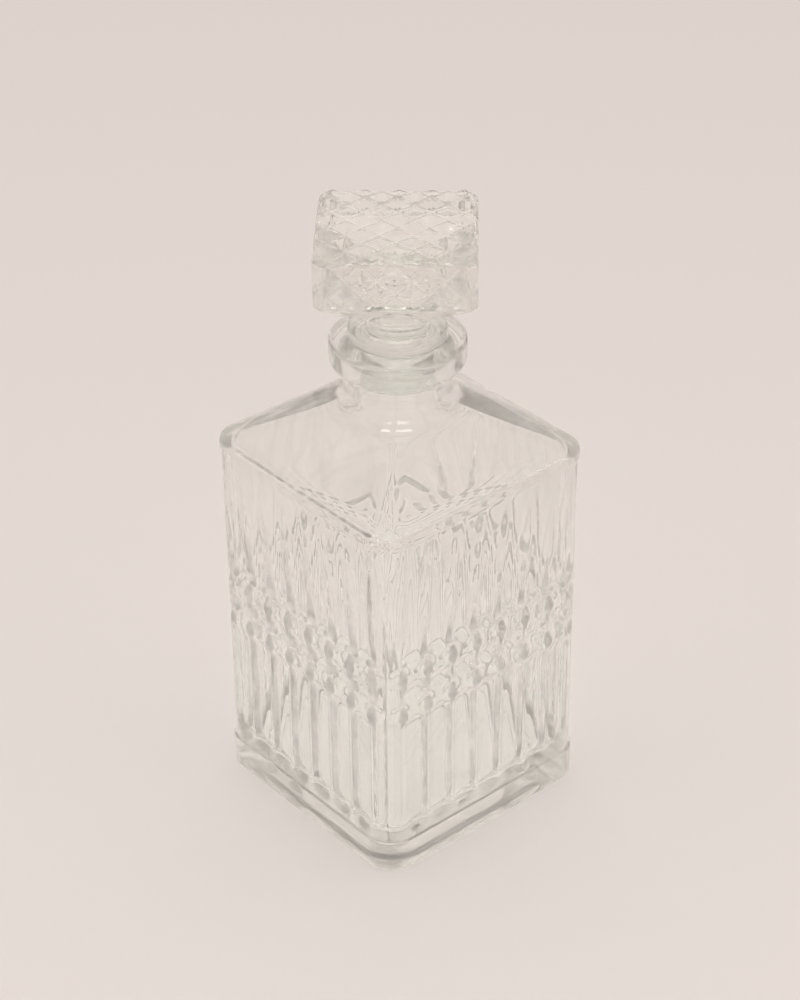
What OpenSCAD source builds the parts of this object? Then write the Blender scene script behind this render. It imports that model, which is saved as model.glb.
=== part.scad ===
// Square decanter with a pressed diamond stopper and a clear plastic seal.
// Millimetres, +Z up. The origin is the centre of the base, on the surface the bottle stands on.

/* [Body] */
// Width of the square body, face to face
body_w = 90; // [76:1:112]
// Leg of the flat cut off each upright corner
corner_cut = 6; // [3:0.5:8]
// Height of the edge where the upright faces meet the shoulder
shoulder_z = 135.5; // [112:0.5:170]
// Height of the plain heel round the foot
heel_h = 12.5; // [9:0.5:16]
// Height of the plain rim under the shoulder edge
rim_h = 4; // [2:0.5:6]
// How far the pressed panels lie behind the heel and the rim
panel_inset = 0.5; // [0.2:0.1:1]
// Small bevel round the foot and along the shoulder edge
edge_bevel = 1.2; // [0.4:0.1:2]

/* [Glass] */
// Thickness of the upright walls at the heel
wall = 4.6; // [4:0.1:8]
// Thickness of the solid base
base_t = 13; // [8:0.5:20]
// Thickness of the glass over the cavity, under the shoulder
roof_t = 4.5; // [4:0.5:9]
// Radius on the edges of the cavity
cavity_r = 6; // [5:0.5:12]

/* [Shoulder and neck] */
// Rise of the shoulder from its edge to the foot of the neck sweep
shoulder_rise = 13.5; // [10:0.5:17]
// Radius of the sweep from the shoulder into the neck
sweep_r = 10; // [8:0.5:12]
// Slope of the sweep where it meets the shoulder, in degrees
foot_slope = 24; // [18:1:32]
// Outer diameter of the neck
neck_d = 36; // [30:0.5:40]
// Straight length of neck between the sweep and the lip
neck_len = 7.4; // [5:0.2:16]
// Diameter of the neck bore that takes the seal
bore_d = 25; // [20:0.5:30]
// How much wider the cavity is than the bore where the neck begins
throat_flare = 6; // [3:0.5:9]
// Outer diameter of the lip
lip_d = 44.8; // [42:0.2:50]
// Height of the lip
lip_h = 9; // [7:0.5:14]
// Radius under the lip
lip_under_r = 2.6; // [1:0.2:3.2]
// Radius on the outer top edge of the lip
lip_top_r = 1; // [0.4:0.1:2]
// Bevel round the mouth of the bore
mouth_bevel = 1; // [0.4:0.1:1.6]

/* [Pressed pattern] */
// Number of flutes on each face
flutes = 7; // [5:1:9]
// Plain margin from the corner to the first flute
margin_w = 7.5; // [7:0.1:10]
// Depth of a flute at its deepest
flute_depth = 1.6; // [0.8:0.1:2]
// Plain land left between two flutes
flute_land = 0.8; // [0.4:0.1:1.6]
// Height of the middle of the thumbprint band
band_z = 73.5; // [66:0.5:80]
// Height from one row of thumbprints to the next
row_pitch = 7.5; // [7:0.5:9]
// Plain land left between a thumbprint and its neighbours
print_land = 0.7; // [0.4:0.1:1.5]
// Depth of a thumbprint
print_depth = 1.4; // [0.6:0.1:1.8]
// Plain height between the heel and the lower flutes
flute_foot = 1.5; // [1:0.5:4]
// Distance below the shoulder edge at which the upper flutes run out
flute_top = 7; // [6:0.5:14]

/* [Seal] */
// Thickness of the seal's flange
flange_t = 1; // [0.8:0.1:2]
// How far the flange stands out over the bore, on top of the lip
flange_w = 3.3; // [2:0.1:4]
// Length of the sleeve below the flange
sleeve_len = 14; // [11:0.2:17]
// Gap between the plain sleeve and the neck bore
sleeve_gap = 0.45; // [0.3:0.05:0.8]
// Number of ribs round the sleeve
ribs = 3; // [2:1:4]
// Height of one rib
rib_h = 1.6; // [1:0.1:2.4]
// Running clearance of each rib in the neck bore, on the radius
rib_clear = 0.05; // [0.02:0.01:0.1]
// Thickness of the sleeve
sleeve_t = 1.7; // [1.2:0.1:2.5]

/* [Stopper] */
// Width of the square stopper block
block_w = 51; // [46:0.5:62]
// Height of the block's upright sides
block_h = 16.5; // [13:0.5:24]
// Radius of the block's upright corners
block_r = 4.5; // [3:0.5:6]
// Height of the slope under the block
under_h = 9; // [5:0.5:12]
// Height of the waist from the collar to the slope under the block
waist_h = 9.4; // [8.2:0.2:16]
// Radius of the flare from the waist to the slope
flare_r = 7; // [5:0.5:8]
// Running clearance of the stem in the seal, on the radius
stem_clear = 0.05; // [0.02:0.01:0.1]
// How far the collar that rests on the seal stands out from the stem
collar_w = 5.9; // [4:0.1:7]
// Height of the collar
collar_h = 2.6; // [1.8:0.1:4]
// Radius round the top of the collar
collar_round = 1; // [0.4:0.1:1.6]
// Length of bare stem below the sleeve
stem_end = 1; // [1:0.5:3]
// How far the stopper is turned from square with the bottle, in degrees
turned = 48; // [0:1:90]

/* [Diamonds] */
// Number of diamonds across one side of the block
diamonds = 4; // [3:1:5]
// Plain strip between the diamonds and the block's corners
strip_w = 4.3; // [3:0.1:6]
// Depth of the grooves between the diamonds
diamond_depth = 2; // [1:0.1:2.4]
// How far the diamonds on top stand above the block's edge
crown = 1.6; // [0.8:0.1:1.6]
// Plain edge round the crown and above and below the side diamonds
edge_w = 1; // [0.6:0.1:2]
// Blunt width left on the ridge between two grooves
ridge_w = 0.3; // [0.2:0.1:0.6]

/* [Hidden] */
$fn = 64;
faces = 4;
thin = 0.1;
over = 1;
lap = 0.2; // step left where a hull meets a turned shape
skin_out = 0.2; // how far the pattern's cuts reach out of the panels
skin_in = 3; // how far they may reach in
cavity_sides = 24;
stem_round = 1;

// Heights, from the base up
foot_z = shoulder_z + shoulder_rise;
foot_turn = 90 - foot_slope;
sweep_z = foot_z + sweep_r * sin(foot_turn);
lip_z = sweep_z + neck_len;
lip_top = lip_z + lip_h;
flange_top = lip_top + flange_t;
sleeve_end = lip_top - sleeve_len;
collar_top = flange_top + collar_h;
under_z = collar_top + waist_h;
block_z = under_z + under_h;
block_top = block_z + block_h;

// Neck, from the axis out
neck_r = neck_d / 2;
bore_r = bore_d / 2;
sweep_foot_r = neck_r + sweep_r * (1 - cos(foot_turn));

// Cavity, under a shoulder of even thickness
shoulder_slope = atan(shoulder_rise / (body_w / 2 - edge_bevel - sweep_foot_r));
cavity_half = body_w / 2 - wall - cavity_r;
cavity_drop = (cavity_r + roof_t - (body_w / 2 - cavity_half) * sin(shoulder_slope))
    / cos(shoulder_slope);
throat_r = bore_r + throat_flare / 2;
throat_z = foot_z + (sweep_foot_r - throat_r) * tan(shoulder_slope) - roof_t / cos(shoulder_slope);

// Pressed pattern on the set-back panels
panel = body_w / 2 - panel_inset;
flute_pitch = (body_w - 2 * margin_w) / flutes;
flute_half = (flute_pitch - flute_land) / 2;
flute_r = (flute_half * flute_half + flute_depth * flute_depth) / (2 * flute_depth);
print_gap = sqrt(flute_pitch * flute_pitch / 4 + row_pitch * row_pitch);
print_half = print_gap - flute_half - print_land;
print_r = (print_half * print_half + print_depth * print_depth) / (2 * print_depth);
lower_start = heel_h + flute_foot + flute_half;
lower_end = band_z - 2 * row_pitch;
upper_start = band_z + 2 * row_pitch;
upper_end = shoulder_z - flute_top;
upper_tilt = atan(flute_depth / (upper_end - upper_start));

// Seal
sleeve_r = bore_r - sleeve_gap;
rib_r = bore_r - rib_clear;
seal_bore_r = sleeve_r - sleeve_t;
flange_r = bore_r + flange_w;

// Stopper
stem_r = seal_bore_r - stem_clear;
collar_r = stem_r + collar_w;
side_w = block_w - 2 * strip_w;
diamond_w = side_w / diamonds;
groove_half = (diamond_w / sqrt(2) - ridge_w) / 2;

// A square of side w with its four corners cut off by legs of length c, h high.
module cut_square(w, c, h) {
    turned_w = (w - c) * sqrt(2);
    intersection() {
        translate([-w / 2, -w / 2, 0]) cube([w, w, h]);
        rotate(45) translate([-turned_w / 2, -turned_w / 2, 0]) cube([turned_w, turned_w, h]);
    }
}

// A square of side w with corners of radius r, h high.
module round_square(w, r, h) {
    translate([-w / 2 + r, -w / 2, 0]) cube([w - 2 * r, w, h]);
    translate([-w / 2, -w / 2 + r, 0]) cube([w, w - 2 * r, h]);
    for (x = [-1, 1], y = [-1, 1])
        translate([x * (w / 2 - r), y * (w / 2 - r), 0]) cylinder(r = r, h = h);
}

// The plain heel, with its foot bevelled.
module heel() {
    hull() {
        cut_square(body_w - 2 * edge_bevel, corner_cut, thin);
        translate([0, 0, edge_bevel]) cut_square(body_w, corner_cut, heel_h - edge_bevel);
    }
}

// The set-back panels between the heel and the rim.
module panels() {
    translate([0, 0, heel_h - over])
        cut_square(2 * panel, corner_cut, shoulder_z - rim_h - heel_h + 2 * over);
}

// The rim and the shoulder, from the square edge up to the round foot of the neck.
module shoulder() {
    hull() {
        translate([0, 0, shoulder_z - rim_h]) cut_square(body_w, corner_cut, rim_h - edge_bevel);
        translate([0, 0, shoulder_z - thin])
            cut_square(body_w - 2 * edge_bevel, corner_cut, thin);
        translate([0, 0, foot_z - thin]) cylinder(r = sweep_foot_r + lap, h = thin);
    }
}

// Half the outline of the sweep, the neck and the lip.
module neck_outline() {
    difference() {
        translate([0, foot_z - over]) square([neck_r + sweep_r, sweep_z - foot_z + over]);
        translate([neck_r + sweep_r, sweep_z]) circle(r = sweep_r);
        translate([sweep_foot_r, foot_z - 2 * over]) square([2 * sweep_r, 2 * over]);
    }
    translate([0, sweep_z - over]) square([neck_r, neck_len + 2 * over]);
    translate([0, lip_z]) square([lip_d / 2 - lip_under_r, lip_h]);
    translate([0, lip_z + lip_under_r])
        square([lip_d / 2, lip_h - lip_under_r - lip_top_r]);
    translate([0, lip_z + lip_under_r])
        square([lip_d / 2 - lip_top_r, lip_h - lip_under_r]);
    translate([lip_d / 2 - lip_under_r, lip_z + lip_under_r]) circle(r = lip_under_r);
    translate([lip_d / 2 - lip_top_r, lip_top - lip_top_r]) circle(r = lip_top_r);
}

// Half the outline of the throat, the bore and the mouth, all cut from the glass.
module bore_outline() {
    polygon([
        [0, throat_z - over],
        [throat_r, throat_z - over],
        [throat_r, throat_z],
        [bore_r, throat_z + throat_flare],
        [bore_r, lip_top - mouth_bevel],
        [bore_r + mouth_bevel, lip_top],
        [bore_r + mouth_bevel, lip_top + over],
        [0, lip_top + over]
    ]);
}

// A ball of radius r with flat facets, and a corner on each axis.
module facet_ball(r) {
    step = 360 / cavity_sides;
    rotate_extrude($fn = cavity_sides) polygon([
        [0, -r],
        for (turn = [step - 90 : step : 90 - step]) [r * cos(turn), r * sin(turn)],
        [0, r]
    ]);
}

// The rounded square cavity, drawn in to the throat under the shoulder.
module cavity() {
    hull() {
        for (x = [-1, 1], y = [-1, 1], z = [base_t + cavity_r, shoulder_z - cavity_drop])
            translate([x * cavity_half, y * cavity_half, z]) facet_ball(cavity_r);
        translate([0, 0, throat_z - thin]) cylinder(r = throat_r - lap, h = thin);
    }
}

// Half the outline of a round-ended rod of radius r, l long between the centres of its ends.
module rod_outline(r, l) {
    intersection() {
        union() {
            circle(r = r);
            translate([0, l]) circle(r = r);
            square([r, l]);
        }
        translate([0, -2 * r]) square([2 * r, l + 4 * r]);
    }
}

// Keeps only what lies in the skin of the panel, so that neighbouring cuts stay apart.
module panel_skin() {
    intersection() {
        translate([-body_w / 2, -panel - skin_out, 0]) cube([body_w, 2 * skin_in, shoulder_z]);
        children();
    }
}

// One lower flute, upright, with a round end at the top and at the foot.
module lower_flute() {
    translate([0, flute_depth - panel - flute_r, lower_start])
        rotate_extrude() rod_outline(flute_r, lower_end - lower_start);
}

// One upper flute, leaning out so that it fades to a point under the shoulder.
module upper_flute() {
    translate([0, flute_depth - panel - flute_r, upper_start]) rotate([upper_tilt, 0, 0])
        rotate_extrude() rod_outline(flute_r, upper_end - upper_start - 2 * flute_half);
}

// Everything pressed into one face: both rows of flutes and the thumbprints between them.
module face_pattern() {
    for (i = [0 : flutes - 1]) {
        x = (i - (flutes - 1) / 2) * flute_pitch;
        panel_skin() translate([x, 0, 0]) lower_flute();
        panel_skin() translate([x, 0, 0]) upper_flute();
    }
    for (row = [-1, 0, 1])
        for (i = [0 : flutes - 1 + abs(row)])
            panel_skin() translate([
                (i - (flutes - 1 + abs(row)) / 2) * flute_pitch,
                print_depth - panel - print_r,
                band_z + row * row_pitch
            ]) sphere(r = print_r);
}

module bottle() {
    color([0.86, 0.9, 0.88]) difference() {
        union() {
            heel();
            panels();
            shoulder();
            rotate_extrude() neck_outline();
        }
        cavity();
        rotate_extrude() bore_outline();
        for (side = [0 : faces - 1]) rotate(side * 360 / faces) face_pattern();
    }
}

// Half the outline of the seal: flange, sleeve and ribs.
module seal_outline() {
    translate([seal_bore_r, lip_top]) square([flange_r - seal_bore_r, flange_t]);
    translate([seal_bore_r, sleeve_end]) square([sleeve_r - seal_bore_r, sleeve_len + flange_t]);
    for (i = [1 : ribs])
        translate([seal_bore_r, lip_top - i * sleeve_len / (ribs + 1) - rib_h / 2])
            square([rib_r - seal_bore_r, rib_h]);
}

module stopper_seal() {
    color([0.93, 0.94, 0.93]) rotate_extrude() seal_outline();
}

// Half the outline of the stem: plug, collar, waist and the flare up to the block.
module stem_outline() {
    stem_foot = sleeve_end - stem_end;
    translate([0, stem_foot + stem_round]) square([stem_r, under_z - stem_foot - stem_round]);
    translate([0, stem_foot]) square([stem_r - stem_round, over + stem_round]);
    translate([stem_r - stem_round, stem_foot + stem_round]) circle(r = stem_round);
    translate([0, flange_top]) square([collar_r, collar_h - collar_round]);
    translate([0, flange_top]) square([collar_r - collar_round, collar_h]);
    translate([collar_r - collar_round, collar_top - collar_round]) circle(r = collar_round);
    difference() {
        translate([0, under_z - flare_r]) square([stem_r + flare_r, flare_r]);
        translate([stem_r + flare_r, under_z - flare_r]) circle(r = flare_r);
    }
}

// The solid block before its diamonds are cut: slope, upright sides and crown.
module block_outside() {
    hull() {
        translate([0, 0, under_z]) cylinder(r = stem_r + flare_r + lap, h = thin);
        translate([0, 0, block_z]) round_square(block_w, block_r, thin);
    }
    translate([0, 0, block_z]) round_square(block_w, block_r, block_h);
    translate([0, 0, block_top - over])
        round_square(block_w - 2 * edge_w, block_r - edge_w / 2, crown + over);
}

// A V groove along X, cut down from z = 0.
module groove(length) {
    rotate([90, 0, 90]) translate([0, 0, -length / 2]) linear_extrude(length)
        polygon([
            [-groove_half, over],
            [-groove_half, 0],
            [0, -diamond_depth],
            [groove_half, 0],
            [groove_half, over]
        ]);
}

// Crossed grooves over a w by h panel in the XY plane, with a row of crossings drop below its edge.
module crossed_grooves(w, h, drop) {
    lines = ceil((w + h) / 2 / diamond_w);
    intersection() {
        translate([-w / 2, -h, -2 * diamond_depth]) cube([w, h, 2 * diamond_depth + over]);
        for (lean = [-45, 45], k = [-2 * lines : 2 * lines])
            translate([k * diamond_w + sign(lean) * drop, 0, 0]) rotate(lean) groove(3 * (w + h));
    }
}

// The diamonds of one upright side, hung from the block's top edge.
module side_diamonds() {
    panel_h = block_h - 2 * edge_w;
    translate([0, -block_w / 2, block_top - edge_w]) rotate([90, 0, 0])
        crossed_grooves(side_w, panel_h, 0);
}

// The diamonds of the crown.
module crown_diamonds() {
    translate([0, block_w / 2, block_top + crown])
        crossed_grooves(block_w, block_w, block_w / 2);
}

module stopper() {
    color([0.88, 0.91, 0.88]) rotate(turned) difference() {
        union() {
            rotate_extrude() stem_outline();
            block_outside();
        }
        crown_diamonds();
        for (side = [0 : faces - 1]) rotate(side * 360 / faces) side_diamonds();
    }
}

bottle();
stopper_seal();
stopper();
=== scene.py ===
"""A square pressed-glass decanter with a diamond stopper, dressed around its CAD frame.

Lengths are in metres and +Z is up.
"""

import math

import bpy
from mathutils import Matrix, Vector


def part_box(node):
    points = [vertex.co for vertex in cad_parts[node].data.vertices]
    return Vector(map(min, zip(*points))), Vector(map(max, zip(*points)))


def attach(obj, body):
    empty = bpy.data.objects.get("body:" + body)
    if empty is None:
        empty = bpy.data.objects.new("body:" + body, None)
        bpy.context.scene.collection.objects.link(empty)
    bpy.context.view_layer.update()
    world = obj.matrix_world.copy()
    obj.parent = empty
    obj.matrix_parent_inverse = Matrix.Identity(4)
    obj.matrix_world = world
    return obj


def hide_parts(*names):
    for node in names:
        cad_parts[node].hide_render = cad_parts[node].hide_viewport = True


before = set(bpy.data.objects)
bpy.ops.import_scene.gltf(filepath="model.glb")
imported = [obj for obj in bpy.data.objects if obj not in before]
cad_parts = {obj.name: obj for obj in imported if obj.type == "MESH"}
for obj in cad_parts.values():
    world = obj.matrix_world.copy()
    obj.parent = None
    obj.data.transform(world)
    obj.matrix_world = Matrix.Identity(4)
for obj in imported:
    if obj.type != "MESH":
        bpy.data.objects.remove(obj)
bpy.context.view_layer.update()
scene = bpy.context.scene

# ---------------------------------------------------------------------------------------------
# Bottle: one piece of clear soda-lime glass, pressed and blown in a mould. It is a closed skin
# of rings: under the foot, up the panels, over the shoulder, neck and lip, and down inside.
# ---------------------------------------------------------------------------------------------
lip_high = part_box("bottle")[1]
body_half = lip_high.x
lip_top = lip_high.z
corner_cut = 0.006
corner_soft = 0.003
foot_bevel = 0.0016
stand_in = 0.007
push_up = 0.0007
heel_top = 0.0125
panel_inset = 0.0005
panel_half = body_half - panel_inset
step_soft = 0.0004
rim_low = 0.1315
shoulder_z = 0.1355
shoulder_bevel = 0.0016
edge_bevel = 0.0012
shoulder_rise = 0.0135
neck_foot_z = shoulder_z + shoulder_rise
sweep_r = 0.010
sweep_slope = math.radians(24)
neck_r = 0.018
lip_r = 0.0224
lip_h = 0.009
lip_z = lip_top - lip_h
lip_under_r = 0.0026
lip_top_r = 0.0013
bore_r = 0.0125
mouth_bevel = 0.001
throat_flare = 0.003
throat_rise = 0.006
throat_r = bore_r + throat_flare
roof_t = 0.0045
wall = 0.0046
cavity_r = 0.006
cavity_core = body_half - wall - cavity_r
cavity_low = 0.013

flutes = 7
margin_w = 0.0075
flute_land = 0.0008
flute_depth = 0.0016
flute_pitch = 2 * (body_half - margin_w) / flutes
flute_half = (flute_pitch - flute_land) / 2
flute_foot = 0.0015
plain_top = 0.009
cells_per_flute = 10
band_z = 0.0735
row_pitch = 0.0075
print_land = 0.0007
print_depth = 0.0014


def folded(angle):
    """The angle from the middle of the nearest of four sides, from 0 to 45 degrees."""
    return abs((angle + math.pi / 4) % (math.pi / 2) - math.pi / 4)


def cut_square(half, cut, soft):
    """Radius by angle of a square with its corners cut off flat and the cuts' edges softened."""

    def radius(angle):
        a = folded(angle)
        side = half / math.cos(a)
        corner = (2 * half - cut) / (math.cos(a) + math.sin(a))
        blend = max(soft - abs(side - corner), 0) / soft
        return min(side, corner) - blend * blend * soft / 4

    return radius


def round_square(core, corner_r):
    """Radius by angle of a square of half-width core, grown all round by corner_r."""

    def radius(angle):
        a = folded(angle)
        if math.tan(a) * (core + corner_r) <= core:
            return (core + corner_r) / math.cos(a)
        b = core * (math.cos(a) + math.sin(a))
        return b + math.sqrt(b * b - 2 * core * core + corner_r * corner_r)

    return radius


def disc(r):
    """Radius by angle of a circle."""
    return lambda angle: r


def scaled(shape, factor):
    """A shape made smaller or larger about the axis."""
    return lambda angle: factor * shape(angle)


def between(shape, other, part):
    """A shape part of the way from one shape to another."""
    return lambda angle: (1 - part) * shape(angle) + part * other(angle)


def arc(r, z, radius, start, end, steps):
    """Points (r, z) of an outline along an arc about (r, z), with its angles in degrees."""
    turns = [math.radians(start + (end - start) * i / steps) for i in range(steps + 1)]
    return [(r + radius * math.cos(t), z + radius * math.sin(t)) for t in turns]


def ramp(low, high, steps):
    """Evenly spaced values from low up to high, with low left out."""
    return [low + (high - low) * i / steps for i in range(1, steps + 1)]


def ring(angles, shape, height):
    """A ring of points round the axis. The height is a number, or a function of the angle."""
    points = []
    for angle in angles:
        r = shape(angle)
        z = height(angle) if callable(height) else height
        points.append((r * math.cos(angle), r * math.sin(angle), z))
    return points


def skin_faces(rings, columns):
    """The quads that join each ring of so many columns to the next."""
    faces = []
    for row in range(rings - 1):
        for i in range(columns):
            a, b = row * columns + i, row * columns + (i + 1) % columns
            faces.append((a, b, b + columns, a + columns))
    return faces


def fan(pole, first, columns, upward):
    """The triangles that close the ring starting at point first with the point pole."""
    pairs = [(first + i, first + (i + 1) % columns) for i in range(columns)]
    return [(pole, a, b) if upward else (pole, b, a) for a, b in pairs]


def mesh_object(name, points, faces):
    """A smooth-shaded mesh object at the origin."""
    mesh = bpy.data.meshes.new(name)
    mesh.from_pydata(points, [], faces)
    mesh.shade_smooth()
    made = bpy.data.objects.new(name, mesh)
    scene.collection.objects.link(made)
    return made


def side_angles():
    """Where the bottle's columns stand across one side, so that they follow the flutes' edges."""
    across = []
    for flute in range(flutes):
        middle = (flute - (flutes - 1) / 2) * flute_pitch
        across += [middle - flute_half + 2 * flute_half * i / cells_per_flute
                   for i in range(cells_per_flute + 1)]
    angles = [math.atan2(u, panel_half) for u in across]
    edge = math.atan2(body_half - corner_cut, body_half)
    near = [angles[-1] + (edge - angles[-1]) * f for f in (0.3, 0.6, 0.8, 0.93)]
    flat = [edge + (math.pi / 4 - edge) * f for f in (0.05, 0.2, 0.4, 0.65, 0.85)]
    outer = near + flat
    return [-a for a in reversed(outer)] + angles + outer + [math.pi / 4]


bottle_angles = [side * math.pi / 2 + a for side in range(4) for a in side_angles()]
foot_shape = cut_square(body_half - foot_bevel, corner_cut, corner_soft)
heel_shape = cut_square(body_half, corner_cut, corner_soft)
panel_shape = cut_square(panel_half, corner_cut, corner_soft)
sweep_turn = math.pi / 2 - sweep_slope
sweep_foot_r = neck_r + sweep_r * (1 - math.cos(sweep_turn))
sweep_z = neck_foot_z + sweep_r * math.sin(sweep_turn)
shoulder_slope = math.atan2(neck_foot_z - shoulder_z, body_half - edge_bevel - sweep_foot_r)
throat_z = neck_foot_z + (sweep_foot_r - throat_r) * math.tan(shoulder_slope)
throat_z -= roof_t / math.cos(shoulder_slope)
cavity_drop = cavity_r + roof_t - (body_half - cavity_core) * math.sin(shoulder_slope)
cavity_high = shoulder_z - cavity_drop / math.cos(shoulder_slope)

# Every ring of the skin with its height, from the middle of the foot to the middle of the cavity.
stack = [(scaled(foot_shape, f), push_up) for f in (0.15, 0.4, 0.6, 0.72)]
hollow = 1 - stand_in / body_half
for f in (0.25, 0.5, 0.75, 1.0):
    rise = push_up * (1 + math.cos(math.pi * f)) / 2
    stack.append((scaled(foot_shape, hollow - 0.09 * (1 - f)), rise))
stack.append((scaled(foot_shape, 0.93), 0.0))
for r, z in arc(body_half - foot_bevel, foot_bevel, foot_bevel, -90, 0, 6):
    stack.append((cut_square(r, corner_cut, corner_soft), z))
stack += [(heel_shape, z) for z in ramp(foot_bevel, heel_top - 2 * step_soft, 5)]
stack.append((heel_shape, heel_top - step_soft))
stack.append((between(heel_shape, panel_shape, 0.15), heel_top - 0.4 * step_soft))
stack.append((between(heel_shape, panel_shape, 0.85), heel_top + 0.4 * step_soft))
stack.append((panel_shape, heel_top + step_soft))
rows_below, rows_in_band, rows_above = 34, 48, 26
band_half = 2.2 * row_pitch
band_low, band_high = band_z - band_half, band_z + band_half
stack += [(panel_shape, z) for z in ramp(heel_top + step_soft, band_low, rows_below)]
stack += [(panel_shape, z) for z in ramp(band_low, band_high, rows_in_band)]
stack += [(panel_shape, z) for z in ramp(band_high, rim_low - step_soft, rows_above)]
stack.append((between(heel_shape, panel_shape, 0.85), rim_low - 0.4 * step_soft))
stack.append((between(heel_shape, panel_shape, 0.15), rim_low + 0.4 * step_soft))
stack.append((heel_shape, rim_low + step_soft))
stack.append((heel_shape, shoulder_z - 1.5 * shoulder_bevel))
for r, z in arc(body_half - shoulder_bevel, shoulder_z - shoulder_bevel, shoulder_bevel, 0, 60, 5):
    stack.append((cut_square(r, corner_cut, corner_soft), z))
top_edge, top_edge_z = stack[-1]
neck_foot = disc(sweep_foot_r)


def shoulder_height(part):
    """Height of the shoulder part of the way in, meeting the neck's sweep at its own slope."""

    def height(angle):
        run = top_edge(angle) - sweep_foot_r
        rise = neck_foot_z - top_edge_z
        turn_up = math.tan(sweep_slope) * run - rise
        return top_edge_z + rise * part + turn_up * part * part * (part - 1)

    return height


stack += [(between(top_edge, neck_foot, p), shoulder_height(p)) for p in ramp(0, 1, 14)]
neck = arc(neck_r + sweep_r, sweep_z, sweep_r, 180 + math.degrees(sweep_turn), 180, 10)[1:]
neck += [(neck_r, z) for z in ramp(sweep_z, lip_z - lip_under_r / 2, 3)]
neck += arc(neck_r + lip_under_r / 2, lip_z - lip_under_r / 2, lip_under_r / 2, 180, 90, 4)[1:]
neck += arc(lip_r - lip_under_r, lip_z + lip_under_r, lip_under_r, -90, 0, 6)
neck += arc(lip_r - lip_top_r, lip_top - lip_top_r, lip_top_r, 0, 90, 5)
neck += [(r, lip_top) for r in ramp(lip_r - lip_top_r, bore_r + mouth_bevel, 4)]
neck += arc(bore_r + mouth_bevel, lip_top - mouth_bevel, mouth_bevel, 90, 180, 5)[1:]
neck += [(bore_r, z) for z in ramp(lip_top - mouth_bevel, throat_z + throat_rise, 6)]
for f in ramp(0, 1, 6):
    widening = (throat_r - bore_r) * (1 - math.cos(f * math.pi / 2))
    neck.append((bore_r + widening, throat_z + throat_rise * (1 - f)))
stack += [(disc(r), z) for r, z in neck]
roof_turn, floor_turn = 62, 84
roof = round_square(cavity_core, cavity_r * math.cos(math.radians(roof_turn)))
roof_z = cavity_high + cavity_r * math.sin(math.radians(roof_turn))
for p in ramp(0, 1, 9):
    stack.append((between(disc(throat_r), roof, p), throat_z + (roof_z - throat_z) * p))
for turn in ramp(roof_turn, 0, 9):
    a = math.radians(turn)
    stack.append((round_square(cavity_core, cavity_r * math.cos(a)),
                  cavity_high + cavity_r * math.sin(a)))
cavity = round_square(cavity_core, cavity_r)
cavity_rows = 66
stack += [(cavity, z) for z in ramp(cavity_high, cavity_low + cavity_r, cavity_rows)]
for turn in ramp(0, floor_turn, 8):
    a = math.radians(turn)
    stack.append((round_square(cavity_core, cavity_r * math.cos(a)),
                  cavity_low + cavity_r * (1 - math.sin(a))))
floor_shape = stack[-1][0]
stack += [(scaled(floor_shape, f), cavity_low) for f in (0.8, 0.5, 0.2)]

columns = len(bottle_angles)
bottle_points = [p for shape, z in stack for p in ring(bottle_angles, shape, z)]
bottle_faces = skin_faces(len(stack), columns)
bottle_points += [(0, 0, push_up), (0, 0, cavity_low)]
last = (len(stack) - 1) * columns
bottle_faces += fan(len(bottle_points) - 2, 0, columns, False)
bottle_faces += fan(len(bottle_points) - 1, last, columns, True)
bottle = mesh_object("bottle_glass_body", bottle_points, bottle_faces)


class Wire:
    """An output socket of a node tree. Plain arithmetic on it adds Math nodes."""

    def __init__(self, tree, socket):
        self.tree = tree
        self.socket = socket

    def add(self, kind, settings=None, values=None, output=0):
        """Adds a node of this kind to the wire's tree and gives one of its outputs."""
        return new_node(self.tree, kind, settings, values, output)

    def math(self, operation, *others):
        values = dict(enumerate((self, *others)))
        return self.add("ShaderNodeMath", {"operation": operation}, values)

    def __add__(self, other):
        return self.math("ADD", other)

    def __sub__(self, other):
        return self.math("SUBTRACT", other)

    def __rsub__(self, other):
        return new_node(self.tree, "ShaderNodeMath", {"operation": "SUBTRACT"}, {0: other, 1: self})

    def __mul__(self, other):
        return self.math("MULTIPLY", other)

    def __truediv__(self, other):
        return self.math("DIVIDE", other)

    def __abs__(self):
        return self.math("ABSOLUTE")

    __radd__ = __add__
    __rmul__ = __mul__


def new_node(tree, kind, settings=None, values=None, output=0):
    """Adds a node: its settings first, then its sockets' values or links. Gives one output."""
    node = tree.nodes.new(kind)
    for name, setting in (settings or {}).items():
        if name == "stops":
            for i, (place, colour) in enumerate(setting):
                elements = node.color_ramp.elements
                stop = elements[i] if i < len(elements) else elements.new(place)
                stop.position = place
                stop.color = colour
        else:
            setattr(node, name, setting)
    for name, value in (values or {}).items():
        if isinstance(value, Wire):
            tree.links.new(value.socket, node.inputs[name])
        else:
            node.inputs[name].default_value = value
    return Wire(tree, node.outputs[output]) if len(node.outputs) else node


def new_rule(name, sizes):
    """A Geometry Nodes tree with a mesh in and out and a named input for each size."""
    tree = bpy.data.node_groups.new(name, "GeometryNodeTree")
    tree.interface.new_socket("Geometry", in_out="INPUT", socket_type="NodeSocketGeometry")
    for size, value in sizes.items():
        kind = "NodeSocketMaterial" if size == "Material" else "NodeSocketFloat"
        tree.interface.new_socket(size, in_out="INPUT", socket_type=kind)
    tree.interface.new_socket("Geometry", in_out="OUTPUT", socket_type="NodeSocketGeometry")
    source = tree.nodes.new("NodeGroupInput")
    return tree, {socket.name: Wire(tree, socket) for socket in source.outputs if socket.name}


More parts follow.
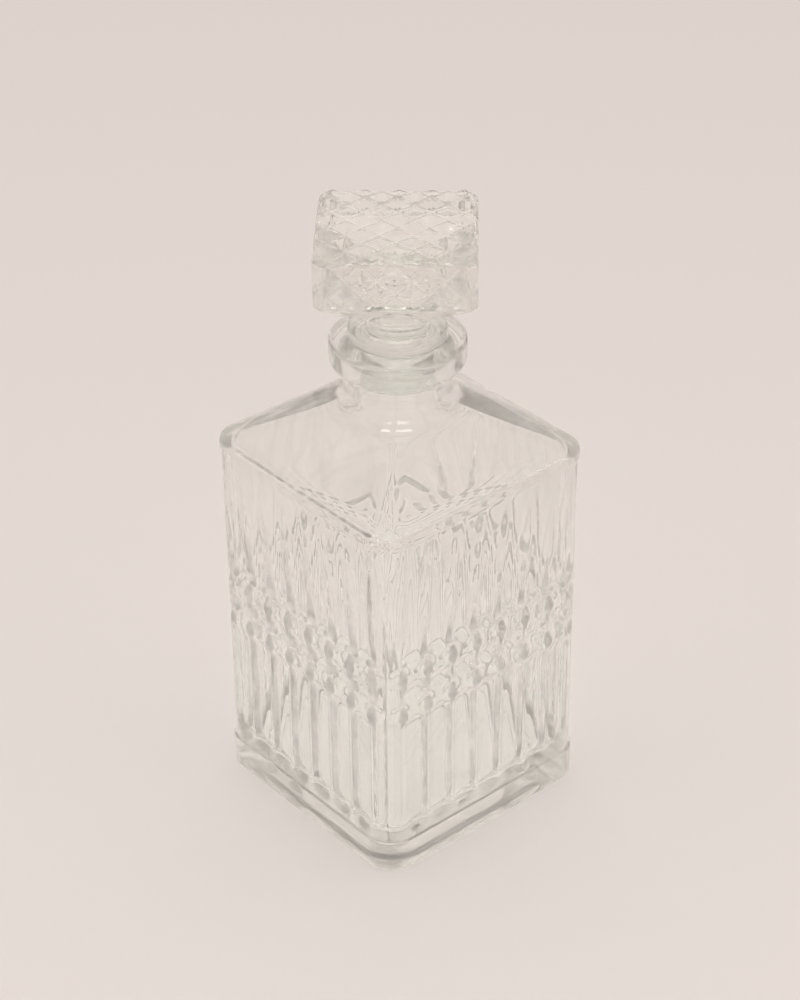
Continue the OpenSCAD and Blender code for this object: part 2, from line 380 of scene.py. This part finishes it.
def end_rule(tree, geometry, material):
    """Ends a tree in Realize Instances and Set Material."""
    real = geometry.add("GeometryNodeRealizeInstances", {}, {"Geometry": geometry})
    done = real.add("GeometryNodeSetMaterial", {}, {"Geometry": real, "Material": material})
    sink = tree.nodes.new("NodeGroupOutput")
    tree.links.new(done.socket, sink.inputs[0])


def follow_rule(piece, tree, sizes):
    """Runs the tree on a piece with these sizes and keeps the result as its plain mesh."""
    modifier = piece.modifiers.new(tree.name, "NODES")
    modifier.node_group = tree
    for item in tree.interface.items_tree:
        if item.in_out == "INPUT" and item.name in sizes:
            modifier[item.identifier] = sizes[item.name]
    bpy.context.view_layer.update()
    graph = bpy.context.evaluated_depsgraph_get()
    shaped = bpy.data.meshes.new_from_object(piece.evaluated_get(graph))
    piece.modifiers.remove(modifier)
    old = piece.data
    piece.data = shaped
    bpy.data.meshes.remove(old)
    shaped.name = piece.name


def glass(name, tint, murk, clarity, wave, polish, smear, speck_scale):
    """Clear pressed glass: a faint tint in depth, soft mould waves, wipe marks and a few seeds.

    A small share of each face passes straight through, unbent, which keeps the contrast low.
    """
    material = bpy.data.materials.new(name)
    material.use_nodes = True
    tree = material.node_tree
    tree.nodes.clear()
    place = new_node(tree, "ShaderNodeTexCoord", {}, {}, "Object")
    waves = place.add("ShaderNodeTexNoise", {}, {"Vector": place, "Scale": 55.0, "Detail": 1.0})
    skin = place.add("ShaderNodeTexNoise", {}, {"Vector": place, "Scale": 420.0, "Detail": 2.0})
    height = waves + 0.06 * skin
    normal = place.add("ShaderNodeBump", {}, {"Height": height, "Strength": 1.0, "Distance": wave})
    smudge = {"Vector": place, "Scale": 38.0, "Detail": 4.0, "Distortion": 1.5}
    wipes = place.add("ShaderNodeTexNoise", {}, smudge)
    marks = place.add("ShaderNodeMapRange", {}, {"Value": wipes, "From Min": 0.5, "From Max": 0.75})
    cells = {"Vector": place, "Scale": speck_scale}
    near = place.add("ShaderNodeTexVoronoi", {}, cells, "Distance")
    seed_r = 0.00032
    seed_dark = (0.05, 0.045, 0.04, 1)
    seeds = near.math("LESS_THAN", seed_r * speck_scale)
    colour = place.add("ShaderNodeMix", {"data_type": "RGBA"}, {0: seeds, 6: tint, 7: seed_dark}, 2)
    shader = place.add("ShaderNodeBsdfPrincipled", {}, {
        "Base Color": colour,
        "Roughness": polish + smear * marks,
        "IOR": 1.52,
        "Transmission Weight": clarity,
        "Normal": normal,
    })
    clear = place.add("ShaderNodeBsdfTransparent", {}, {"Color": (0.975, 0.98, 0.97, 1)})
    shadow = new_node(tree, "ShaderNodeLightPath", {}, {}, "Is Shadow Ray")
    straight_through = 0.08
    passing = shadow.math("MAXIMUM", straight_through)
    mixed = place.add("ShaderNodeMixShader", {}, {0: passing, 1: shader, 2: clear})
    depth = place.add("ShaderNodeVolumeAbsorption", {}, {"Color": murk[0], "Density": murk[1]})
    new_node(tree, "ShaderNodeOutputMaterial", {}, {"Surface": mixed, "Volume": depth})
    return material


bottle_glass = glass("clear pressed bottle glass", tint=(0.996, 0.997, 0.99, 1),
                     murk=((0.8, 0.83, 0.74, 1), 3.5), clarity=1.0, wave=0.00001,
                     polish=0.01, smear=0.03, speck_scale=42.0)

# The pressed pattern: seven flutes above and below a band of thumbprints on each panel. Each is a
# shallow scoop of a ball or a round rod, so its depth falls off as a circle does from its middle.
# The upper flutes thin out to nothing below the shoulder. The wall inside follows the flutes a
# little and carries fine upright strands.
pattern_sizes = {
    "Flute pitch": flute_pitch,
    "Flute half width": flute_half,
    "Flute depth": flute_depth,
    "Last flute": (flutes - 1) / 2,
    "Lower start": heel_top + flute_foot + flute_half,
    "Lower end": band_z - 2 * row_pitch,
    "Upper start": band_z + 2 * row_pitch,
    "Upper end": shoulder_z - plain_top,
    "Band height": band_z,
    "Row pitch": row_pitch,
    "Print half width": math.hypot(flute_pitch / 2, row_pitch) - flute_half - print_land,
    "Print depth": print_depth,
    "Softness": 0.0006,
    "Fading softness": 0.0011,
    "Panel": (panel_half + cavity_core + cavity_r) / 2,
    "Inner follow": 0.0009,
    "Inner strands": 0.00012,
    "Material": bottle_glass,
}
pattern, size = new_rule("pressed pattern", pattern_sizes)
position = new_node(pattern, "GeometryNodeInputPosition")
split = position.add("ShaderNodeSeparateXYZ", {}, {0: position})
x, y, z = (Wire(pattern, socket) for socket in split.socket.node.outputs)
across = abs(x).math("MINIMUM", abs(y))
outward = abs(x).math("MAXIMUM", abs(y))
faces_x = abs(x).math("GREATER_THAN", abs(y))
flute_at = (across / size["Flute pitch"]).math("ROUND").math("MINIMUM", size["Last flute"])
from_flute = across - flute_at * size["Flute pitch"]
gap_at = (across / size["Flute pitch"]).math("FLOOR").math("MINIMUM", size["Last flute"]) + 0.5
from_gap = across - gap_at * size["Flute pitch"]


def scoop(half, depth, side, end):
    """Depth of a round scoop at a point side and end away from its middle."""
    radius = (half * half + depth * depth) / (2 * depth)
    left = (radius * radius - side * side - end * end).math("MAXIMUM", 0.0)
    return left.math("SQRT") - radius


flute_size = (size["Flute half width"], size["Flute depth"])
below = (size["Lower start"] - z).math("MAXIMUM", z - size["Lower end"]).math("MAXIMUM", 0.0)
lower = size["Flute depth"] + scoop(*flute_size, from_flute, below)
fade = ((z - size["Upper start"]) / (size["Upper end"] - size["Upper start"])).math("MAXIMUM", 0.0)
fade_bow = 0.7
start = (size["Upper start"] - z).math("MAXIMUM", 0.0)
thinned = size["Flute depth"] * (1 - fade.math("POWER", fade_bow))
upper = thinned + scoop(*flute_size, from_flute, start)
under_rim = z.math("LESS_THAN", rim_low - step_soft)
upper = upper.math("SMOOTH_MAX", 0.0, size["Fading softness"]) * under_rim
print_size = (size["Print half width"], size["Print depth"])
row = z - size["Band height"]
middle_prints = size["Print depth"] + scoop(*print_size, from_flute, row)
outer_prints = size["Print depth"] + scoop(*print_size, from_gap, abs(row) - size["Row pitch"])
depth = lower
for other in (upper, middle_prints, outer_prints, 0.0):
    depth = depth.math("SMOOTH_MAX", other, size["Softness"])
outside = outward.math("GREATER_THAN", size["Panel"])
clear_of_neck = 0.03
inside = (1 - outside) * outward.math("GREATER_THAN", clear_of_neck)
inside = inside * z.math("GREATER_THAN", cavity_low + cavity_r) * z.math("LESS_THAN", cavity_high)
ripple = 1 + (from_flute / size["Flute pitch"] * math.tau).math("COSINE")
follow = ripple * (1 - fade) * size["Inner follow"] / 2
depth = depth * outside + follow * inside
towards = position.add("ShaderNodeCombineXYZ", {}, {
    "X": x.math("SIGN") * faces_x * depth * -1,
    "Y": y.math("SIGN") * (1 - faces_x) * depth * -1,
})
upright = (1.0, 1.0, 0.05)
stretched = position.add("ShaderNodeVectorMath", {"operation": "MULTIPLY"},
                         {0: position, 1: upright})
strand_noise = {"Vector": stretched, "Scale": 240.0, "Detail": 0.0}
strands = position.add("ShaderNodeTexNoise", {}, strand_noise, 0)
normal = new_node(pattern, "GeometryNodeInputNormal")
wave = (strands - 0.5) * size["Inner strands"] * inside
sway = normal.add("ShaderNodeVectorMath", {"operation": "SCALE"}, {0: normal, "Scale": wave})
offset = towards.add("ShaderNodeVectorMath", {"operation": "ADD"}, {0: towards, 1: sway})
pressed = size["Geometry"].add("GeometryNodeSetPosition", {}, {
    "Geometry": size["Geometry"],
    "Offset": offset,
})
end_rule(pattern, pressed, size["Material"])
follow_rule(bottle, pattern, pattern_sizes)
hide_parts("bottle")
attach(bottle, "bottle")

# ---------------------------------------------------------------------------------------------
# Seal: a clear soft plastic sleeve, moulded in one piece. Its flange rests on top of the lip
# under the stopper's collar, and its ribs press on the neck's bore.
# ---------------------------------------------------------------------------------------------
seal_low, seal_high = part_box("stopper_seal")
flange_r = seal_high.x
sleeve_in = 0.01035
sleeve_out = 0.01205
rib_out = 0.01245
ribs = 3
rib_half = 0.0008
seal_edge = 0.0003
seal_ease = 0.00006
seal_segments = 96


def turned(name, outline, segments):
    """A closed outline of (r, z) turned round the axis."""
    angles = [2 * math.pi * i / segments for i in range(segments)]
    points = [p for r, z in outline for p in ring(angles, disc(r), z)]
    faces = skin_faces(len(outline), segments)
    last_row = (len(outline) - 1) * segments
    for i in range(segments):
        after = (i + 1) % segments
        faces.append((last_row + i, last_row + after, after, i))
    return mesh_object(name, points, faces)


def seal_outline():
    """From the foot of the sleeve up the outside, round the flange and down the bore."""
    flange_low = lip_top + seal_ease
    flange_top = seal_high.z - seal_ease
    points = arc(sleeve_out - seal_edge, seal_low.z + seal_edge, seal_edge, -90, 0, 3)
    length = flange_low - seal_low.z
    for rib in range(ribs, 0, -1):
        middle = flange_low - rib * length / (ribs + 1)
        points.append((sleeve_out, middle - rib_half - seal_edge))
        rib_turn = [-60, -30, 0, 30, 60]
        points += [(sleeve_out + (rib_out - sleeve_out) * math.cos(math.radians(t)),
                    middle + rib_half * math.sin(math.radians(t))) for t in rib_turn]
        points.append((sleeve_out, middle + rib_half + seal_edge))
    points += arc(sleeve_out + seal_edge, flange_low - seal_edge, seal_edge, 180, 90, 3)
    points += arc(flange_r - seal_edge, flange_low + seal_edge, seal_edge, -90, 0, 3)
    points += arc(flange_r - seal_edge, flange_top - seal_edge, seal_edge, 0, 90, 3)
    points += arc(sleeve_in + seal_edge, flange_top - seal_edge, seal_edge, 90, 180, 3)
    points += [(sleeve_in, z) for z in ramp(flange_top - seal_edge, seal_low.z + seal_edge, 4)]
    points += arc(sleeve_in + seal_edge, seal_low.z + seal_edge, seal_edge, 180, 270, 3)[1:]
    return points


def soft_plastic(name):
    """Clear polyethylene: a slight milkiness in depth and a fine moulded skin."""
    material = bpy.data.materials.new(name)
    material.use_nodes = True
    tree = material.node_tree
    tree.nodes.clear()
    place = new_node(tree, "ShaderNodeTexCoord", {}, {}, "Object")
    haze = place.add("ShaderNodeTexNoise", {}, {"Vector": place, "Scale": 260.0, "Detail": 3.0})
    skin = place.add("ShaderNodeTexNoise", {}, {"Vector": place, "Scale": 900.0, "Detail": 2.0})
    colour = place.add("ShaderNodeMix", {"data_type": "RGBA"},
                       {0: haze, 6: (0.95, 0.96, 0.955, 1), 7: (0.9, 0.915, 0.905, 1)}, 2)
    normal = place.add("ShaderNodeBump", {}, {"Height": skin, "Strength": 0.4, "Distance": 0.00002})
    shader = place.add("ShaderNodeBsdfPrincipled", {}, {
        "Base Color": colour,
        "Roughness": 0.06 + 0.06 * haze,
        "IOR": 1.5,
        "Transmission Weight": 0.88,
        "Normal": normal,
    })
    clear = place.add("ShaderNodeBsdfTransparent", {}, {"Color": (0.9, 0.91, 0.9, 1)})
    shadow = new_node(tree, "ShaderNodeLightPath", {}, {}, "Is Shadow Ray")
    mixed = place.add("ShaderNodeMixShader", {}, {0: shadow, 1: shader, 2: clear})
    new_node(tree, "ShaderNodeOutputMaterial", {}, {"Surface": mixed})
    return material


seal = turned("seal_sleeve", seal_outline(), seal_segments)
seal.data.materials.append(soft_plastic("clear seal plastic"))
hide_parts("stopper_seal")
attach(seal, "seal")

# ---------------------------------------------------------------------------------------------
# Stopper: one piece of pressed glass. A square block with diamonds on its sides and crown, a
# slope under it, a flared stem with a collar on the seal, and a ground plug in the sleeve.
# ---------------------------------------------------------------------------------------------
stopper_low, stopper_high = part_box("stopper")
stopper_turn = math.radians(48)
block_half = 0.0255
block_r = 0.0043
block_core = block_half - block_r
block_z = stopper_high.z - 0.0181
block_top = stopper_high.z - 0.00185
edge_band = 0.00075
crown_half = block_half - 0.001
crown_core = block_core
diamonds = 4
cells_per_diamond = 24
diamond_w = 2 * block_core / diamonds
cell = diamond_w / cells_per_diamond
corner_cells = 6
side_cells = diamonds * cells_per_diamond
stem_r = 0.0103
stem_z = seal_high.z
collar_r = 0.0162
collar_h = 0.0026
collar_round = 0.001
under_z = block_z - 0.009
flare_r = 0.007
stem_soft = 0.0005


def block_angles():
    """Where the stopper's columns stand round one side, on the diamonds' grid and the corner."""
    side = [math.atan2((i - side_cells / 2) * cell, block_half) for i in range(side_cells + 1)]
    corner = []
    for i in range(1, 2 * corner_cells):
        turn = math.pi / 2 * i / (2 * corner_cells)
        corner.append(math.atan2(block_core + block_r * math.sin(turn),
                                 block_core + block_r * math.cos(turn)))
    return side + corner


def crown_point(i, j):
    """A point of the crown's grid, with the grid's corners drawn in to round ones."""
    n = side_cells / 2
    a, b = i - corner_cells - n, j - corner_cells - n
    over_a, over_b = max(abs(a) - n, 0) / corner_cells, max(abs(b) - n, 0) / corner_cells
    wide = crown_half - crown_core
    if over_a > 0 and over_b > 0:
        far = max(over_a, over_b)
        turn = math.pi / 4 * (over_b / over_a if over_a >= over_b else 2 - over_a / over_b)
        over_a, over_b = far * math.cos(turn), far * math.sin(turn)
    u = math.copysign(min(abs(a), n) * cell + over_a * wide, a)
    v = math.copysign(min(abs(b), n) * cell + over_b * wide, b)
    return (u, v)


stopper_angles = [side * math.pi / 2 + a for side in range(4) for a in block_angles()]
block_shape = round_square(block_core, block_r)
stem = [(stem_r * f, stopper_low.z) for f in (0.3, 0.6, 0.8)]
stem += arc(stem_r - 0.001, stopper_low.z + 0.001, 0.001, -90, 0, 4)
stem += [(stem_r, z) for z in ramp(stopper_low.z + 0.001, stem_z, 5)]
stem += arc(collar_r - stem_soft, stem_z + stem_soft, stem_soft, -90, 0, 3)
stem += arc(collar_r - collar_round, stem_z + collar_h - collar_round, collar_round, 0, 90, 6)
stem += arc(stem_r + stem_soft, stem_z + collar_h + stem_soft, stem_soft, 270, 180, 3)
stem += [(stem_r, z) for z in ramp(stem_z + collar_h + stem_soft, under_z - flare_r, 3)]
stem += arc(stem_r + flare_r, under_z - flare_r, flare_r, 180, 90, 10)[1:]
column = [(disc(r), z) for r, z in stem]
flare_end = disc(stem_r + flare_r)
foot_square = round_square(block_core, block_r - stem_soft)
for p in ramp(0, 1, 8):
    column.append((between(flare_end, foot_square, p), under_z + (block_z - under_z) * p))
panel_low, panel_top = block_z + 0.001, block_top - edge_band
column.append((block_shape, block_z + stem_soft))
column.append((block_shape, panel_low - 0.0002))
rows = int((panel_top - panel_low) / cell)
column += [(block_shape, panel_top - cell * k) for k in range(rows, -1, -1)]
for r, z in arc(block_r - edge_band, block_top - edge_band, edge_band, 12, 90, 5):
    column.append((round_square(block_core, r), z))
crown_edge = round_square(crown_core, crown_half - crown_core)
column.append((crown_edge, block_top))

n = side_cells + 2 * corner_cells
grid = {}
stopper_points = [p for shape, z in column for p in ring(stopper_angles, shape, z)]
around = len(stopper_angles)
stopper_faces = skin_faces(len(column), around)
for i in range(n + 1):
    for j in range(n + 1):
        grid[i, j] = len(stopper_points)
        stopper_points.append((*crown_point(i, j), stopper_high.z))
for i in range(n):
    for j in range(n):
        stopper_faces.append((grid[i, j], grid[i + 1, j], grid[i + 1, j + 1], grid[i, j + 1]))
rim = [(n, j) for j in range(corner_cells, n)] + [(i, n) for i in range(n, 0, -1)]
rim += [(0, j) for j in range(n, 0, -1)] + [(i, 0) for i in range(n)]
rim += [(n, j) for j in range(corner_cells)]
last = (len(column) - 1) * around
for i in range(around):
    after = (i + 1) % around
    stopper_faces.append((last + i, last + after, grid[rim[after]], grid[rim[i]]))
stopper_points.append((0, 0, stopper_low.z))
stopper_faces += fan(len(stopper_points) - 1, 0, around, False)
stopper = mesh_object("stopper_glass_block", stopper_points, stopper_faces)

stopper_glass = glass("clear pressed stopper glass", tint=(0.985, 0.984, 0.97, 1),
                      murk=((0.8, 0.81, 0.7, 1), 4.0), clarity=0.95, wave=0.00002,
                      polish=0.06, smear=0.05, speck_scale=95.0)

# The diamonds: V grooves cross at 45 degrees on each side and on the crown. The deeper groove
# wins at each point, which leaves a four-sided pyramid in every diamond.
diamond_sizes = {
    "Diamond width": diamond_w,
    "Side depth": 0.002,
    "Crown depth": stopper_high.z - block_top - 0.00005,
    "Side top": panel_top,
    "Side foot": panel_low - 0.0001,
    "Side half width": block_core + 0.00001,
    "Crown height": block_top + 0.0001,
    "Softness": 0.00025,
    "Turn": stopper_turn,
    "Material": stopper_glass,
}
lattice, size = new_rule("pressed diamonds", diamond_sizes)
position = new_node(lattice, "GeometryNodeInputPosition")
split = position.add("ShaderNodeSeparateXYZ", {}, {0: position})
x, y, z = (Wire(lattice, socket) for socket in split.socket.node.outputs)
pitch = size["Diamond width"]


def crossed_grooves(u, v):
    """Depth of crossed V grooves as a share of their whole depth, with softened ridges."""
    shares = []
    for line in (u + v, u - v):
        away = abs(line / pitch - (line / pitch).math("ROUND")) * 2
        shares.append(1 - away)
    soft = size["Softness"] / size["Side depth"]
    sharp = shares[0].math("SMOOTH_MAX", shares[1], soft)
    return sharp.math("SMOOTH_MIN", 1.0, soft).math("SMOOTH_MAX", 0.0, soft)


faces_x = abs(x).math("GREATER_THAN", abs(y))
across = abs(x).math("MINIMUM", abs(y))
on_side = across.math("LESS_THAN", size["Side half width"])
on_side = on_side * z.math("LESS_THAN", size["Side top"] + 0.00001)
on_side = on_side * z.math("GREATER_THAN", size["Side foot"])
side_cut = crossed_grooves(across, z - size["Side top"]) * size["Side depth"] * on_side
crown_cut = crossed_grooves(x, y) * size["Crown depth"]
crown_cut = crown_cut * z.math("GREATER_THAN", size["Crown height"])
offset = position.add("ShaderNodeCombineXYZ", {}, {
    "X": x.math("SIGN") * faces_x * side_cut * -1,
    "Y": y.math("SIGN") * (1 - faces_x) * side_cut * -1,
    "Z": crown_cut * -1,
})
cut = size["Geometry"].add("GeometryNodeSetPosition", {}, {
    "Geometry": size["Geometry"],
    "Offset": offset,
})
turn = position.add("ShaderNodeCombineXYZ", {}, {"Z": size["Turn"]})
turned_block = cut.add("GeometryNodeTransform", {}, {"Geometry": cut, "Rotation": turn})
end_rule(lattice, turned_block, size["Material"])
follow_rule(stopper, lattice, diamond_sizes)
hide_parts("stopper")
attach(stopper, "stopper")

# ---------------------------------------------------------------------------------------------
# Studio: a pale floor, an even pale surround that is darker behind the camera, and two soft
# boxes high in front.
# ---------------------------------------------------------------------------------------------
view_turn = math.radians(-40.297)
view_down = math.radians(33.099)
view_roll = math.radians(-0.604)
view_back = Vector((0.000155, -0.009361, 0.85139))
view_aim = Vector((0, 0, 0.12273))
view_lens = 92.68

heading = Matrix.Rotation(view_turn, 3, "Z") @ Matrix.Rotation(math.pi / 2 - view_down, 3, "X")
camera_data = bpy.data.cameras.new("camera")
camera_data.lens = view_lens
camera_data.sensor_width = 36
camera = bpy.data.objects.new("camera", camera_data)
place = view_aim + heading @ view_back
tilted = heading @ Matrix.Rotation(view_roll, 3, "Z")
camera.matrix_world = Matrix.Translation(place) @ tilted.to_4x4()
scene.collection.objects.link(camera)
scene.camera = camera

floor_half = 6.0
floor_drop = 0.00003
floor_mesh = bpy.data.meshes.new("floor")
corners = [(-floor_half, -floor_half), (floor_half, -floor_half),
           (floor_half, floor_half), (-floor_half, floor_half)]
floor_mesh.from_pydata([(u, v, -floor_drop) for u, v in corners], [], [(0, 1, 2, 3)])
floor = bpy.data.objects.new("floor", floor_mesh)
scene.collection.objects.link(floor)
paper = bpy.data.materials.new("pale backdrop paper")
paper.use_nodes = True
tree = paper.node_tree
tree.nodes.clear()
matt = new_node(tree, "ShaderNodeBsdfDiffuse", {}, {"Color": (0.92, 0.91, 0.905, 1)})
new_node(tree, "ShaderNodeOutputMaterial", {}, {"Surface": matt})
floor_mesh.materials.append(paper)


def soft_box(name, turn, up, distance, wide, tall, power):
    """A soft box aimed at the decanter, turned from the camera's side and raised, in degrees."""
    light = bpy.data.lights.new(name, "AREA")
    light.shape = "RECTANGLE"
    light.size = wide
    light.size_y = tall
    light.energy = power
    light.color = (1.0, 0.97, 0.94)
    made = bpy.data.objects.new(name, light)
    aim = Matrix.Rotation(view_turn + math.radians(turn), 3, "Z")
    aim = aim @ Matrix.Rotation(math.pi / 2 - math.radians(up), 3, "X")
    centre = Vector((0, 0, 0.15))
    made.matrix_world = Matrix.Translation(centre + aim @ Vector((0, 0, distance))) @ aim.to_4x4()
    scene.collection.objects.link(made)


soft_box("left soft box", turn=-30, up=54, distance=1.4, wide=0.28, tall=0.18, power=1.35)
soft_box("right soft box", turn=12, up=54, distance=1.4, wide=0.48, tall=0.18, power=2.3)

horizon_tone = (0.7, 0.628, 0.588, 1)
overhead_tone = (0.76, 0.682, 0.639, 1)
camera_side_tone = (0.66, 0.6, 0.565, 1)
world = bpy.data.worlds.new("pale surround")
scene.world = world
world.use_nodes = True
tree = world.node_tree
tree.nodes.clear()
way = new_node(tree, "ShaderNodeTexCoord", {}, {}, "Generated")
behind = (heading @ Vector((0, 0, 1))).normalized()
facing = way.add("ShaderNodeVectorMath", {"operation": "DOT_PRODUCT"}, {0: way, 1: behind}, "Value")
dim = way.add("ShaderNodeMapRange", {"interpolation_type": "SMOOTHSTEP"},
              {"Value": facing, "From Min": 0.55, "From Max": 0.95, "To Min": 0.0, "To Max": 1.0})
height = way.add("ShaderNodeSeparateXYZ", {}, {0: way}, "Z")
lift = way.add("ShaderNodeMapRange", {"interpolation_type": "SMOOTHSTEP"},
               {"Value": height, "From Min": 0.0, "From Max": 0.75, "To Min": 0.0, "To Max": 1.0})
open_side = way.add("ShaderNodeMix", {"data_type": "RGBA"},
                    {0: lift, 6: horizon_tone, 7: overhead_tone}, 2)
shade = way.add("ShaderNodeMix", {"data_type": "RGBA"},
                {0: dim, 6: open_side, 7: camera_side_tone}, 2)
glow = new_node(tree, "ShaderNodeBackground", {}, {"Color": shade, "Strength": 1.0})
new_node(tree, "ShaderNodeOutputWorld", {}, {"Surface": glow})

# Light trapped in thick glass needs many bounces before it comes out.
scene.view_settings.view_transform = "Standard"
scene.cycles.max_bounces = 48
scene.cycles.transmission_bounces = 48
scene.cycles.glossy_bounces = 12
scene.cycles.transparent_max_bounces = 16
